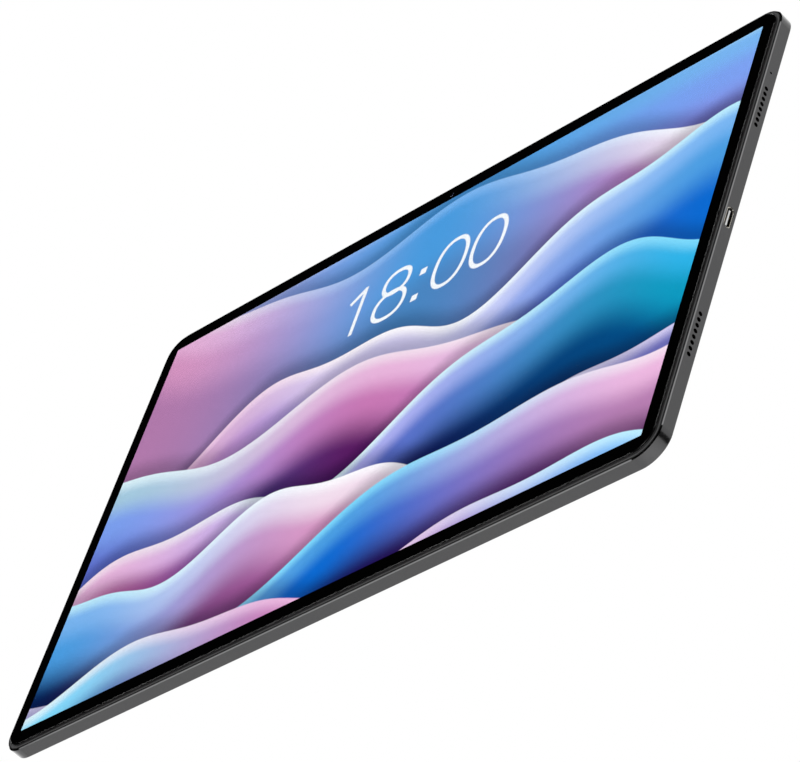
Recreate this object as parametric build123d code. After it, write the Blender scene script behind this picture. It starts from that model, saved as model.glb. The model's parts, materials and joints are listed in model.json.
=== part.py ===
from build123d import *
import os

# A 14-inch tablet computer, in millimetres. The origin is the middle of its rear face,
# +X points to the edge with the charging port, +Y to the edge above the front camera,
# and +Z out of the screen. The tablet lies on its back, on Z = 0.

# ---- Body ----
BODY_X, BODY_Y, BODY_Z = 317.0, 205.5, 6.0
CORNER_R = 10.0
BACK_EDGE_R = 0.4
WALL = 1.5
FLOOR = 0.8
RIM_TOP = BODY_Z - 0.95
RIM_CHAMFER = 0.32
RIM_WIDTH = 0.6
LEDGE_Z = 4.45
HALF_X, HALF_Y = BODY_X / 2, BODY_Y / 2
INNER_X, INNER_Y = HALF_X - WALL, HALF_Y - WALL

# ---- Front: cover glass, its ink border and the frame that carries it ----
GLASS_INSET = 2.05
GLASS_THICK = 0.5
GLASS_EDGE = 0.28
GLASS_BOTTOM = BODY_Z - GLASS_THICK
INK_THICK = 0.03
SCREEN_X, SCREEN_Y = 301.6, 188.5
LIP_TOP = BODY_Z - 0.85
LIP_OUTER, LIP_INNER = 0.95, 1.45
FRAME_FOOT = 0.65
FRAME_INNER = 4.15
FRAME_FLOOR_TOP = 4.8
GROOVE_FLOOR = 4.62
GLUE_THICK = 0.12
CLIP_XS = (-140, -85, -30, 50, 80, 130)

# ---- Display stack under the glass ----
PANEL_TOP = GLASS_BOTTOM - INK_THICK
STACK_BOTTOM = 3.7
PANEL_BOTTOM = 4.5
PANEL_X = 151.4
PANEL_Y = (-96.1, 95.1)
PAN_SHEET = 0.15
PAN_MARGIN = 0.3
REFLECTOR_THICK = 0.1
GUIDE_TOP = 4.35
LED_COUNT = 36

# ---- Wall openings ----
PORT_Z = 2.95
HOLE_R = 0.83
HOLE_PITCH = 2.5
HOLES_PER_GROUP = 8
SPEAKER_Y = 52.3
MIC_HOLE_R = 0.45
MIC_SIDE_Y = 68.8
MIC_TOP_X = 30.0

# ---- USB-C receptacle: opening 8.34 x 2.56 in the shell ----
USB_WIDTH, USB_HEIGHT = 8.34, 2.56
USB_SHELL = 0.2
USB_MOUTH_GAP = 0.04
USB_Z = 2.85
USB_BACK_X = 151.9
USB_FRONT_X = 158.35
TONGUE_FRONT_X = 157.95
TONGUE_WIDTH, TONGUE_THICK = 6.69, 0.7
CONTACT_COUNT = 12
CONTACT_PITCH, CONTACT_WIDTH, CONTACT_THICK = 0.5, 0.25, 0.05

# ---- Boards and screws ----
BOARD_BOTTOM, BOARD_TOP = 1.4, 2.2
SCREW_R, SCREW_HEAD_R, SCREW_HEAD = 0.7, 1.3, 0.5
SCREW_TIP_Z = 0.5
BOSS_R = 1.6
PILOT_GAP, BOARD_HOLE_GAP = 0.02, 0.1
FLEX = 0.1
MAINBOARD_X, MAINBOARD_Y = (-64, 126), (56, 100)
MAINBOARD_SCREWS = [(-60, 60), (-60, 95), (28, 59), (62, 96), (122, 60), (122, 95)]
USB_BOARD_X, USB_BOARD_Y = (138, 151.8), 14
USB_BOARD_SCREWS = [(141, -11), (141, 11)]

# ---- Battery ----
CELL_X, CELL_Y = (2, 124), (-72, 46)
TAPE_THICK = 0.15
CELL_TOP = 3.45

# ---- Speakers ----
SPEAKER_X = (133.5, 156.4)
SPEAKER_FROM_MIDDLE = (35.3, 65.3)
SPEAKER_BOTTOM, SPEAKER_TOP = 0.95, 3.55
NOZZLE_X, NOZZLE_HALF, NOZZLE_TOP = 152.4, 10.6, 4.1
LUG = 4.5
MESH_THICK = 0.15

# ---- Cameras ----
FRONT_CAMERA = (0, 96.85)
FRONT_BARREL_R, FRONT_LENS_R, FRONT_WINDOW_R = 1.4, 0.9, 1.1
REAR_CAMERA = (141, 86)
REAR_RING_R, REAR_WINDOW_R, REAR_LENS_R = 4.98, 4.15, 2.4
FLASH = (128.5, 86)
FLASH_R = 1.9

# ---- Keys ----
KEY_HEIGHT = 2.2
KEY_GAP = 0.08
KEY_PROUD = 0.35
POWER_Y, POWER_LENGTH = 82, 12
POWER_TRAVEL = 0.25
ROCKER_X, ROCKER_LENGTH = -118, 24
ROCKER_FLANGE_GAP, ROCKER_RIB_R = 0.25, 0.22
FLANGE_THICK, FLANGE_MARGIN = 0.5, 1.0
NIB_R, NIB_LENGTH = 0.6, 0.35
ROCKER_NIB_X = 9
SWITCH_SIZE, SWITCH_THICK = 2.6, 0.9

# ---- Card tray and its eject mechanism ----
TRAY_X = 100
TRAY_FACE, TRAY_FACE_HEIGHT, TRAY_FACE_THICK = 18, 2.0, 1.3
TRAY_GAP = 0.1
TRAY_BED_X, TRAY_BED_BACK = (92.5, 105.8), 73.4
TRAY_BED_Z = (2.5, 3.3)
READER_SHEET = 0.18
READER_Y = (72.2, 98)
ROD_X, ROD_WIDTH = 107.2, 1.0
ROD_Y = (71.7, 98.5)
LEVER_PIVOT = (101.5, 70.75)
LEVER_X, LEVER_Y = (95.2, 108), (70, 71.5)
LEVER_Z = (2.5, 3.2)
PIVOT_R, PIVOT_GAP = 0.5, 0.05


def block(xs, ys, zs):
    """A box between two values on each axis, in either order."""
    sizes = [abs(b - a) for a, b in (xs, ys, zs)]
    middle = [(a + b) / 2 for a, b in (xs, ys, zs)]
    return Pos(*middle) * Box(*sizes)


def disc(centre, radius, zs):
    """A round plate standing on the first height and ending at the second."""
    return extrude(Pos(*centre, zs[0]) * Circle(radius), amount=zs[1] - zs[0])


def inset_plate(inset, zs):
    """A plate that follows the body's outline, a given distance inside it."""
    radius = max(CORNER_R - inset, 1.0)
    outline = RectangleRounded(BODY_X - 2 * inset, BODY_Y - 2 * inset, radius)
    return extrude(Pos(0, 0, zs[0]) * outline, amount=zs[1] - zs[0])


def inset_ring(outer, inner, zs):
    """A closed band between two distances inside the body's outline."""
    return inset_plate(outer, zs) - inset_plate(inner, zs)


def along_x(sketch, y, z, xs):
    """A sketch stood up at (y, z), its width along Y, and extruded along X."""
    plane = Plane(origin=(xs[0], y, z), x_dir=(0, 1, 0), z_dir=(1, 0, 0))
    return extrude(plane * sketch, amount=xs[1] - xs[0])


def along_y(sketch, x, z, ys):
    """A sketch stood up at (x, z), its width along X, and extruded along Y."""
    plane = Plane(origin=(x, ys[1], z), x_dir=(1, 0, 0), z_dir=(0, -1, 0))
    return extrude(plane * sketch, amount=ys[1] - ys[0])


def mirrored(shape):
    """The same shape on the -X side of the body."""
    return mirror(shape, about=Plane.YZ)


def group(shapes):
    """Several separate solids kept together as one sub-part."""
    return Compound(children=list(shapes))


def speaker_holes():
    """The centres along Y of all the sound holes in one short wall."""
    first = -(HOLES_PER_GROUP - 1) / 2 * HOLE_PITCH
    offsets = [first + i * HOLE_PITCH for i in range(HOLES_PER_GROUP)]
    return [side * SPEAKER_Y + offset for side in (-1, 1) for offset in offsets]


def speaker_screws():
    """The two lug screws of each of the four speaker boxes."""
    x = SPEAKER_X[0] + LUG / 2
    ys = [SPEAKER_FROM_MIDDLE[0] + LUG / 2, SPEAKER_FROM_MIDDLE[1] - LUG / 2]
    return [(sx * x, sy * y) for sx in (-1, 1) for sy in (-1, 1) for y in ys]


ALL_SCREWS = MAINBOARD_SCREWS + USB_BOARD_SCREWS + speaker_screws()


# ---- Housing ----
def rear_housing():
    """The metal tray: floor, walls, the rim round the glass and every wall opening."""
    body = inset_plate(0, (0, RIM_TOP))
    body = fillet(body.edges().group_by(Axis.Z)[0], BACK_EDGE_R)
    body = chamfer(body.edges().group_by(Axis.Z)[-1], RIM_CHAMFER)
    body -= inset_plate(WALL, (FLOOR, LEDGE_Z))
    body -= inset_plate(RIM_WIDTH, (LEDGE_Z, RIM_TOP))
    for ys in (CELL_Y[0] - 1.1, CELL_Y[1] + 0.5):
        for side in (-1, 1):
            xs = (side * CELL_X[0], side * CELL_X[1])
            body += block(xs, (ys, ys + 0.6), (FLOOR, FLOOR + 0.5))
    for screw in ALL_SCREWS:
        body += disc(screw, BOSS_R, (FLOOR, BOARD_BOTTOM))
    for screw in ALL_SCREWS:
        body -= disc(screw, SCREW_R + PILOT_GAP, (SCREW_TIP_Z - 0.05, BOARD_BOTTOM))
    return body - wall_openings() - rear_openings()


def wall_openings():
    """Sound holes, microphone holes, port, key slots and card slot, as cutters."""
    past_x, past_y = (INNER_X - 0.1, HALF_X + 1), (INNER_Y - 0.1, HALF_Y + 1)
    cutters = []
    for y in speaker_holes():
        hole = along_x(Circle(HOLE_R), y, PORT_Z, past_x)
        cutters += [hole, mirrored(hole)]
    cutters.append(along_x(Circle(MIC_HOLE_R), MIC_SIDE_Y, PORT_Z, past_x))
    cutters.append(along_y(Circle(MIC_HOLE_R), MIC_TOP_X, PORT_Z, past_y))
    around = 2 * (USB_SHELL + USB_MOUTH_GAP)
    cutters.append(along_x(SlotOverall(USB_WIDTH + around, USB_HEIGHT + around), 0, USB_Z, past_x))
    power = SlotOverall(POWER_LENGTH + 2 * KEY_GAP, KEY_HEIGHT + 2 * KEY_GAP)
    cutters.append(mirrored(along_x(power, POWER_Y, PORT_Z, past_x)))
    rocker = SlotOverall(ROCKER_LENGTH + 2 * KEY_GAP, KEY_HEIGHT + 2 * KEY_GAP)
    cutters.append(along_y(rocker, ROCKER_X, PORT_Z, past_y))
    card = SlotOverall(TRAY_FACE + 2 * TRAY_GAP, TRAY_FACE_HEIGHT + 2 * TRAY_GAP)
    cutters.append(along_y(card, TRAY_X, PORT_Z, past_y))
    return cutters


def rear_openings():
    """The rear camera's and the flash's holes through the floor, as cutters."""
    camera = disc(REAR_CAMERA, REAR_RING_R + 0.02, (-1, FLOOR + 0.1))
    return [camera, disc(FLASH, FLASH_R + 0.02, (-1, FLOOR + 0.1))]


def display_frame():
    """The moulded ring that shows as a thin lip round the glass and carries it."""
    ring = inset_ring(FRAME_FOOT, FRAME_INNER, (LEDGE_Z, GROOVE_FLOOR))
    ring += inset_ring(LIP_OUTER, FRAME_INNER, (GROOVE_FLOOR, FRAME_FLOOR_TOP))
    ring += inset_ring(LIP_OUTER, LIP_INNER, (FRAME_FLOOR_TOP, LIP_TOP))
    shelf_top = GLASS_BOTTOM - GLUE_THICK
    ring += inset_ring(GLASS_INSET + 0.1, FRAME_INNER, (FRAME_FLOOR_TOP, shelf_top))
    for side in (-1, 1):
        clip_y = (side * (INNER_Y - 0.75), side * (INNER_Y - 0.05))
        for x in CLIP_XS:
            ring += block((x - 4, x + 4), clip_y, (STACK_BOTTOM, LEDGE_Z + 0.01))
    return ring


# ---- Front glass and display ----
def cover_glass():
    """The front sheet, with a small bevel all round its outer edge."""
    sheet = inset_plate(GLASS_INSET, (GLASS_BOTTOM, BODY_Z))
    return chamfer(sheet.edges().group_by(Axis.Z)[-1], GLASS_EDGE)


def bezel_ink():
    """The black border printed on the underside of the glass, open at the camera."""
    border = inset_plate(GLASS_INSET + 0.02, (PANEL_TOP, GLASS_BOTTOM))
    border -= block(
        (-SCREEN_X / 2, SCREEN_X / 2),
        (-SCREEN_Y / 2, SCREEN_Y / 2),
        (PANEL_TOP - 1, BODY_Z),
    )
    return border - disc(FRONT_CAMERA, FRONT_WINDOW_R, (PANEL_TOP - 1, BODY_Z))


def glass_tape():
    """The adhesive band between the frame's shelf and the glass's inked border."""
    zs = (GLASS_BOTTOM - GLUE_THICK, PANEL_TOP)
    return inset_ring(GLASS_INSET + 0.3, FRAME_INNER - 0.2, zs)


def display_sheet(margin, zs):
    """One full-size layer of the display, a margin inside the panel's outline."""
    xs = (-PANEL_X + margin, PANEL_X - margin)
    return block(xs, (PANEL_Y[0] + margin, PANEL_Y[1] - margin), zs)


def lcd_panel():
    return display_sheet(0, (PANEL_BOTTOM, PANEL_TOP))


def diffuser_films():
    return display_sheet(0.3, (GUIDE_TOP + 0.01, PANEL_BOTTOM))


def light_guide():
    """The clear plate, short of the lamps' edge by the lamps' own width."""
    guide = display_sheet(0.3, (STACK_BOTTOM + PAN_SHEET + REFLECTOR_THICK, GUIDE_TOP))
    return guide - lamp_space()


def lamp_space():
    """The channel along the lower edge of the light guide where the lamps sit."""
    y = PANEL_Y[0] + 0.3
    return block((-PANEL_X, PANEL_X), (y - 1, y + 1.2), (STACK_BOTTOM + 0.25, GUIDE_TOP))


def reflector_film():
    bottom = STACK_BOTTOM + PAN_SHEET
    return display_sheet(0.3, (bottom, bottom + REFLECTOR_THICK))


def backlight_tray():
    """The pressed steel pan that holds the films, the light guide and the lamps."""
    pan = display_sheet(-PAN_MARGIN + 0.1, (STACK_BOTTOM, PANEL_BOTTOM))
    hollow = display_sheet(0.1, (STACK_BOTTOM + PAN_SHEET, PANEL_BOTTOM + 1))
    return pan - hollow


def backlight_leds():
    """The row of side-firing lamps and the narrow board that carries them."""
    y = PANEL_Y[0] + 0.35
    floor = STACK_BOTTOM + PAN_SHEET + REFLECTOR_THICK
    bar = block((-148, 148), (y, y + 0.3), (floor, GUIDE_TOP - 0.02))
    pitch = 296 / LED_COUNT
    first = -148 + pitch / 2
    lamps = [
        block(
            (first + i * pitch - 1.5, first + i * pitch + 1.5),
            (y + 0.3, y + 1.0),
            (floor, floor + 0.38),
        )
        for i in range(LED_COUNT)
    ]
    return group([bar] + lamps)


def display_driver_board():
    return block((-70, 70), (-94, -84), (STACK_BOTTOM - 0.6, STACK_BOTTOM))


def display_flex():
    """The flat cable that runs over the battery to the mainboard."""
    return block((-20, -4), (-84, 63), (3.48, 3.6))


# ---- Battery ----
def battery_cell(side):
    """One pouch cell with rounded edges, on the -X or the +X side."""
    xs = (side * CELL_X[0], side * CELL_X[1])
    cell = block(xs, CELL_Y, (FLOOR + TAPE_THICK, CELL_TOP))
    return fillet(cell.edges().filter_by(Axis.Y), 0.8)


def battery_tapes():
    """Pull-tab adhesive strips, three under each cell."""
    strips = []
    for side in (-1, 1):
        for x in (20, 63, 106):
            xs = (side * (x - 7), side * (x + 7))
            strips.append(block(xs, (CELL_Y[0] + 4, CELL_Y[1] - 4), (FLOOR, FLOOR + TAPE_THICK)))
    return group(strips)


def battery_board():
    return block((-40, 40), (CELL_Y[1] + 1.4, CELL_Y[1] + 6.6), (BOARD_BOTTOM, BOARD_TOP))


def battery_tabs():
    """The cells' metal tabs, which lie on the protection board."""
    ys = (CELL_Y[1], CELL_Y[1] + 3.4)
    return group(
        block((x - 2.5, x + 2.5), ys, (BOARD_TOP, BOARD_TOP + FLEX))
        for x in (-32, -12, 12, 32)
    )


def battery_lead():
    """The flat lead from the protection board to the mainboard."""
    ys = (CELL_Y[1] + 4, MAINBOARD_Y[0] + 6)
    return block((-8, 8), ys, (BOARD_TOP, BOARD_TOP + 0.15))


# ---- Mainboard ----
def mainboard():
    """The main circuit board, notched round the front camera."""
    board = block(MAINBOARD_X, MAINBOARD_Y, (BOARD_BOTTOM, BOARD_TOP))
    board -= block((-5, 5), (92.5, 110), (0, BODY_Z))
    for screw in MAINBOARD_SCREWS:
        board -= disc(screw, SCREW_R + BOARD_HOLE_GAP, (BOARD_BOTTOM - 1, BOARD_TOP + 1))
    return board


def chip(x, y, width, depth, height):
    """A square-edged component on top of a board."""
    xs, ys = (x - width / 2, x + width / 2), (y - depth / 2, y + depth / 2)
    return block(xs, ys, (BOARD_TOP, BOARD_TOP + height))


def shield_can(x, y, width, depth):
    """A pressed lid over a group of chips, open towards the board."""
    can = chip(x, y, width, depth, 1.25)
    return can - chip(x, y, width - 0.3, depth - 0.3, 1.1)


def processor():
    return chip(40, 80, 14, 14, 0.8)


def memory_chips():
    return group([chip(55, 84, 11, 8, 0.9), chip(55, 74, 11, 8, 0.9)])


def thermal_pad():
    return Pos(0, 0, 0.8) * chip(40, 80, 12, 12, 0.3)


def processor_shield():
    return shield_can(46, 79, 34, 26)


def radio_chips():
    return group([chip(-42, 82, 8, 8, 0.9), chip(-30, 80, 6, 6, 0.8)])


def radio_shield():
    return shield_can(-36, 81, 26, 20)


def power_chips():
    return group([chip(76, 86, 6, 6, 0.8), chip(76, 74, 7, 7, 1.1)])


def graphite_sheet():
    """The thin heat spreader laid over both shields."""
    top = BOARD_TOP + 1.25
    return block((-48, 62), (67, 90), (top, top + 0.08))


def board_connectors():
    """Sockets for the display, battery, key and port cables."""
    display = block((-21, -3), (57.5, 63), (BOARD_TOP + 0.15, 3.48))
    return group(
        [
            display - block((-9, 20), (50, MAINBOARD_Y[0] + 6.1), (0, BOARD_TOP + 0.3)),
            block((9, 15), (57, 62), (BOARD_TOP, 3.2)),
            block((-62.5, -57.5), (70, 78), (BOARD_TOP + FLEX, 3.1)),
            block((114, 124), (66, 69), (BOARD_TOP + FLEX, 3.1)),
        ]
    )


def board_screws():
    """Cross-head screws that hold both boards and the speaker boxes."""
    return group(screw(*place) for place in ALL_SCREWS)


def screw(x, y):
    """One screw: shank, flat head and a cross recess."""
    body = disc((x, y), SCREW_R, (SCREW_TIP_Z, BOARD_TOP))
    body += disc((x, y), SCREW_HEAD_R, (BOARD_TOP, BOARD_TOP + SCREW_HEAD))
    recess = (BOARD_TOP + 0.2, BOARD_TOP + SCREW_HEAD + 1)
    body -= block((x - 0.8, x + 0.8), (y - 0.15, y + 0.15), recess)
    return body - block((x - 0.15, x + 0.15), (y - 0.8, y + 0.8), recess)


# ---- Charging port ----
def usb_board():
    board = block(USB_BOARD_X, (-USB_BOARD_Y, USB_BOARD_Y), (BOARD_BOTTOM, BOARD_TOP))
    for place in USB_BOARD_SCREWS:
        board -= disc(place, SCREW_R + BOARD_HOLE_GAP, (BOARD_BOTTOM - 1, BOARD_TOP + 1))
    return board


def usb_shell():
    """The receptacle's steel tube, which comes through the wall almost flush."""
    outer = SlotOverall(USB_WIDTH + 2 * USB_SHELL, USB_HEIGHT + 2 * USB_SHELL)
    inner = SlotOverall(USB_WIDTH, USB_HEIGHT)
    return along_x(outer - inner, 0, USB_Z, (USB_BACK_X, USB_FRONT_X))


def usb_tongue():
    """The moulded base that closes the shell's back, and the tongue in its mouth."""
    base = SlotOverall(USB_WIDTH - 0.04, USB_HEIGHT - 0.04)
    moulding = along_x(base, 0, USB_Z, (USB_BACK_X, USB_BACK_X + 1.2))
    half, low = TONGUE_WIDTH / 2, USB_Z - TONGUE_THICK / 2
    tongue_z = (low, low + TONGUE_THICK)
    moulding += block((USB_BACK_X + 1, TONGUE_FRONT_X), (-half, half), tongue_z)
    moulding += block((USB_BACK_X - 2.4, USB_BACK_X + 0.1), (-3.6, 3.6), (BOARD_TOP, 3.6))
    return moulding


def usb_contacts():
    """Two rows of spring-plated contacts, above and below the tongue."""
    xs = (USB_BACK_X + 1.2, TONGUE_FRONT_X - 0.3)
    half_tongue = TONGUE_THICK / 2
    first = -(CONTACT_COUNT - 1) / 2 * CONTACT_PITCH
    contacts = []
    for i in range(CONTACT_COUNT):
        y = first + i * CONTACT_PITCH
        ys = (y - CONTACT_WIDTH / 2, y + CONTACT_WIDTH / 2)
        for side in (-1, 1):
            inner, outer = half_tongue, half_tongue + CONTACT_THICK
            contacts.append(block(xs, ys, (USB_Z + side * inner, USB_Z + side * outer)))
    return group(contacts)


def usb_flex():
    """The flat cable from the port's board, past the battery, to the mainboard."""
    zs = (BOARD_TOP, BOARD_TOP + FLEX)
    flex = block((125, 140), (-6, 6), zs) + block((125, 130), (-6, 69), zs)
    return flex + block((114, 130), (66, 69), zs)


# ---- Sound ----
def speaker_boxes():
    """Four sealed boxes, each with a nozzle at the wall and two screw lugs."""
    near, far = SPEAKER_FROM_MIDDLE
    box = block(SPEAKER_X, (near, far), (SPEAKER_BOTTOM, SPEAKER_TOP))
    nozzle_y = (SPEAKER_Y - NOZZLE_HALF, SPEAKER_Y + NOZZLE_HALF)
    box += block((NOZZLE_X, SPEAKER_X[1]), nozzle_y, (SPEAKER_BOTTOM, NOZZLE_TOP))
    box = fillet(box.edges().filter_by(Axis.Z), 0.8)
    duct_y = (SPEAKER_Y - NOZZLE_HALF + 0.8, SPEAKER_Y + NOZZLE_HALF - 0.8)
    box -= block((NOZZLE_X + 0.8, HALF_X), duct_y, (PORT_Z - 0.95, PORT_Z + 0.95))
    middle = ((SPEAKER_X[0] + 150) / 2, (near + far) / 2)
    box -= extrude(Pos(*middle, SPEAKER_TOP - 0.5) * Ellipse(6.5, 9), amount=1)
    lug_x = (SPEAKER_X[0] - 1, SPEAKER_X[0] + LUG)
    for lug_y in ((near - 1, near + LUG), (far - LUG, far + 1)):
        box -= block(lug_x, lug_y, (0, BOARD_BOTTOM))
        box -= block(lug_x, lug_y, (BOARD_TOP, BODY_Z))
    for place in speaker_screws():
        box -= disc(place, SCREW_R + BOARD_HOLE_GAP, (0, BODY_Z))
    return in_four_quarters(box)


def placed(shape, side_x, side_y):
    """A shape made in the +X +Y quarter, mirrored into another quarter."""
    if side_x < 0:
        shape = mirror(shape, about=Plane.YZ)
    if side_y < 0:
        shape = mirror(shape, about=Plane.XZ)
    return shape


def in_four_quarters(shape):
    """One copy of a shape for each speaker, as one group."""
    return group(placed(shape, sx, sy) for sx in (-1, 1) for sy in (-1, 1))


def speaker_diaphragms():
    """Oval cones with a raised dome, one in the top of each speaker box."""
    middle = ((SPEAKER_X[0] + 150) / 2, sum(SPEAKER_FROM_MIDDLE) / 2)
    bottom = SPEAKER_TOP - 0.5
    cone = extrude(Pos(*middle, bottom) * Ellipse(6.4, 8.9), amount=0.2)
    cone += extrude(Pos(*middle, bottom + 0.2) * Ellipse(4, 6), amount=0.2)
    return in_four_quarters(cone)


def speaker_gaskets():
    """Foam frames that seal each nozzle against the mesh."""
    outer = Rectangle(2 * NOZZLE_HALF, 2.7)
    inner = Rectangle(2 * NOZZLE_HALF - 1.4, 1.9)
    xs = (SPEAKER_X[1], INNER_X - MESH_THICK)
    return in_four_quarters(along_x(outer - inner, SPEAKER_Y, PORT_Z, xs))


def speaker_meshes():
    """Dust meshes behind the rows of sound holes."""
    sheet = Rectangle(2 * NOZZLE_HALF, 2.7)
    xs = (INNER_X - MESH_THICK, INNER_X)
    return in_four_quarters(along_x(sheet, SPEAKER_Y, PORT_Z, xs))


def microphones():
    """The two microphone capsules behind their holes, and the side one's cable."""
    side = block((153.2, INNER_X), (MIC_SIDE_Y - 1.8, MIC_SIDE_Y + 1.8), (2.0, 3.9))
    side -= along_x(Circle(MIC_HOLE_R), MIC_SIDE_Y, PORT_Z, (154, HALF_X))
    cable_y = (MIC_SIDE_Y + 0.5, MIC_SIDE_Y + 1.7)
    side += block((124.5, 153.3), cable_y, (BOARD_TOP, BOARD_TOP + FLEX))
    top = block((MIC_TOP_X - 2, MIC_TOP_X + 2), (97, 100.9), (BOARD_TOP, 3.6))
    top -= along_y(Circle(MIC_HOLE_R), MIC_TOP_X, PORT_Z, (98.5, HALF_Y))
    return group([side, top])


def antennas():
    """Two flexible antennas stuck to the floor along the lower edge."""
    strip = block((70, 132), (-99, -88), (FLOOR, FLOOR + 0.12))
    return group([strip, mirrored(strip)])


# ---- Cameras ----
def front_camera():
    """The camera body with its round barrel, which reaches up to the glass."""
    x, y = FRONT_CAMERA
    body = block((x - 3, x + 3), (y - 3, y + 3), (1.2, 3.6))
    body += disc(FRONT_CAMERA, FRONT_BARREL_R, (3.6, PANEL_TOP - 0.05))
    return body - disc(FRONT_CAMERA, FRONT_LENS_R + 0.02, (PANEL_TOP - 0.6, BODY_Z))


def front_camera_lens():
    """The small domed lens at the top of the barrel."""
    lens = disc(FRONT_CAMERA, FRONT_LENS_R, (PANEL_TOP - 0.6, PANEL_TOP - 0.12))
    return fillet(lens.edges().group_by(Axis.Z)[-1], 0.25)


def rear_camera():
    """The camera body inside the floor, with its barrel behind the window."""
    x, y = REAR_CAMERA
    body = block((x - 4.5, x + 4.5), (y - 4.5, y + 4.5), (1.0, 3.5))
    body += disc(REAR_CAMERA, REAR_WINDOW_R - 0.15, (0.62, 1.0))
    return body - disc(REAR_CAMERA, REAR_LENS_R + 0.02, (0, 1.5))


def rear_camera_lens():
    """The domed lens, which looks out through the rear window."""
    lens = disc(REAR_CAMERA, REAR_LENS_R, (0.66, 1.5))
    return fillet(lens.edges().group_by(Axis.Z)[0], 0.3)


def rear_camera_ring():
    """The metal ring in the floor, with an inner flange and a seat for the window."""
    ring = disc(REAR_CAMERA, REAR_RING_R, (0, FLOOR))
    ring += disc(REAR_CAMERA, REAR_RING_R + 0.9, (FLOOR, FLOOR + 0.15))
    return ring - disc(REAR_CAMERA, REAR_WINDOW_R, (-1, BODY_Z))


def rear_camera_window():
    return disc(REAR_CAMERA, REAR_WINDOW_R - 0.02, (0.1, 0.55))


def flash_lens():
    return disc(FLASH, FLASH_R, (0.05, FLOOR))


def flash_lamp():
    x, y = FLASH
    return block((x - 1.1, x + 1.1), (y - 1.1, y + 1.1), (FLOOR, BOARD_BOTTOM - FLEX))


def camera_cables():
    """Flat cables from the front and the rear camera to the mainboard."""
    x, y = REAR_CAMERA
    rear = block((118, x - 4.5), (y - 2, y + 2), (BOARD_BOTTOM - FLEX, BOARD_BOTTOM))
    front_y = (86, FRONT_CAMERA[1] - 3)
    return group([rear, block((-1.5, 1.5), front_y, (BOARD_TOP, BOARD_TOP + FLEX))])


# ---- Keys ----
def key_cap(length, proud):
    """A key's outside part as a sketch depth: a rounded bar through the wall."""
    bar = along_y(SlotOverall(length, KEY_HEIGHT), 0, PORT_Z, (INNER_Y - 0.4, HALF_Y + proud))
    return chamfer(bar.edges().group_by(Axis.Y)[-1], 0.15)


def power_button():
    """A sliding key in the -X wall: cap, inner flange and the nib that presses."""
    cap = Pos(0, HALF_X - HALF_Y, 0) * key_cap(POWER_LENGTH, KEY_PROUD)
    half = POWER_LENGTH / 2 + FLANGE_MARGIN
    back = INNER_X - 0.05
    cap += block((-half, half), (back - FLANGE_THICK, back), (PORT_Z - 1.3, PORT_Z + 1.3))
    nib_y = (back - FLANGE_THICK - NIB_LENGTH, back - FLANGE_THICK + 0.01)
    cap += along_y(Circle(NIB_R), 0, PORT_Z, nib_y)
    return Pos(0, POWER_Y, 0) * Rot(0, 0, 90) * cap


def volume_rocker():
    """A rocking key in the +Y wall: cap, flange, round pivot rib and a nib at each end."""
    cap = Pos(ROCKER_X, 0, 0) * key_cap(ROCKER_LENGTH, KEY_PROUD)
    half = ROCKER_LENGTH / 2 + FLANGE_MARGIN
    back = INNER_Y - ROCKER_FLANGE_GAP
    flange_y = (back - FLANGE_THICK, back)
    cap += block((ROCKER_X - half, ROCKER_X + half), flange_y, (PORT_Z - 1.3, PORT_Z + 1.3))
    cap += disc((ROCKER_X, back), ROCKER_RIB_R, (PORT_Z - 1.3, PORT_Z + 1.3))
    nib_y = (back - FLANGE_THICK - NIB_LENGTH, back - FLANGE_THICK + 0.01)
    for side in (-1, 1):
        cap += along_y(Circle(NIB_R), ROCKER_X + side * ROCKER_NIB_X, PORT_Z, nib_y)
    return cap


POWER_NIB_X = INNER_X - 0.05 - FLANGE_THICK - NIB_LENGTH
POWER_SWITCH_X = POWER_NIB_X - POWER_TRAVEL - 0.05
ROCKER_NIB_Y = INNER_Y - ROCKER_FLANGE_GAP - FLANGE_THICK - NIB_LENGTH
ROCKER_SWITCH_Y = ROCKER_NIB_Y - 0.25


def key_switches():
    """One dome switch behind the power button and two behind the volume rocker."""
    half = SWITCH_SIZE / 2
    zs = (PORT_Z - half, PORT_Z + half)
    face, base = POWER_SWITCH_X, POWER_SWITCH_X - SWITCH_THICK
    switches = [block((-face, -base), (POWER_Y - half, POWER_Y + half), zs)]
    face, base = ROCKER_SWITCH_Y, ROCKER_SWITCH_Y - SWITCH_THICK
    for side in (-1, 1):
        x = ROCKER_X + side * ROCKER_NIB_X
        switches.append(block((x - half, x + half), (base, face), zs))
    return group(switches)


def key_flex():
    """The flexible circuit of the keys: two upright ends joined along the floor."""
    zs = (FLOOR, PORT_Z + 1.3)
    x = -(POWER_SWITCH_X - SWITCH_THICK)
    y = ROCKER_SWITCH_Y - SWITCH_THICK
    power = block((x, x + FLEX), (POWER_Y - 6, POWER_Y + 6), zs)
    rocker = block((ROCKER_X - 13, ROCKER_X + 13), (y - FLEX, y), zs)
    floor_z = (FLOOR, FLOOR + FLEX)
    strip = block((x, -146), (POWER_Y - 2, POWER_Y + 2), floor_z)
    strip += block((-148, -146), (POWER_Y - 2, 92), floor_z)
    strip += block((-148, -66), (90, 92), floor_z)
    strip += block((ROCKER_X - 2, ROCKER_X + 2), (90, y), floor_z)
    strip += block((-68, -66), (72, 92), floor_z)
    riser = block((-66.2, -66), (72, 76), (FLOOR, BOARD_TOP + FLEX))
    plug = block((-66.2, -57.5), (72, 76), (BOARD_TOP, BOARD_TOP + FLEX))
    return power + rocker + strip + riser + plug


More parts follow.
